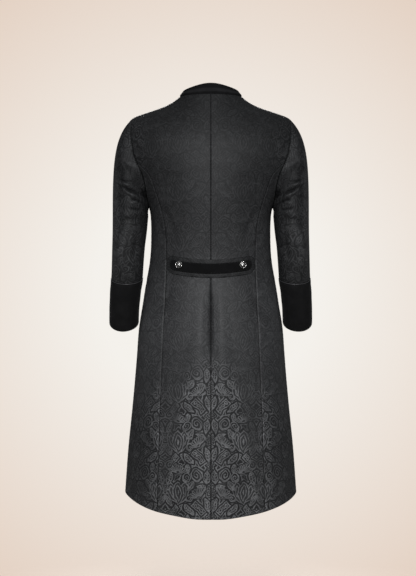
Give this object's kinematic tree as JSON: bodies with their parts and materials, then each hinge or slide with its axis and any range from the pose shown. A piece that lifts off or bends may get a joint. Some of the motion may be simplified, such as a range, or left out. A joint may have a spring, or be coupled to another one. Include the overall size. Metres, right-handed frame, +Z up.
{
  "type": "fitted knee-length coat",
  "caption": "Fitted knee-length coat, hollow as worn: stand collar, back vent, velvet cuffs with piping, and a velvet half-belt with domed buttons at the back waist.",
  "frame": {"origin": "middle of the neck opening at the height of the nape, on the plane between left and right, where the wearer's shoulders and neck hold the coat", "axes": "+Z up along the wearer's spine, +X to the wearer's left, +Y out of the back, -Y out of the front"},
  "size_m": [0.5812, 0.3079, 1.186],
  "materials": {
    "jacquard": "black tone-on-tone jacquard with a soft sheen",
    "velvet": "black velvet, deep matte pile",
    "piping": "grey-black satin piping",
    "button": "aged silver-coloured metal, domed with a raised rim"
  },
  "bodies": {
    "root": {"back_left": "jacquard", "back_right": "jacquard", "side_back_left": "jacquard", "side_back_right": "jacquard", "front_left": "jacquard", "front_right": "jacquard", "upper_sleeve_left": "jacquard", "upper_sleeve_right": "jacquard", "under_sleeve_left": "jacquard", "under_sleeve_right": "jacquard", "cuff_left": "velvet", "cuff_right": "velvet", "cuff_piping_left": "piping", "cuff_piping_right": "piping", "collar": "velvet", "half_belt_base": "jacquard", "half_belt_velvet": "velvet", "belt_button_left": "button", "belt_button_right": "button", "front_button_1": "button", "front_button_2": "button", "front_button_3": "button", "front_button_4": "button", "front_button_5": "button"}
  },
  "joints": []
}
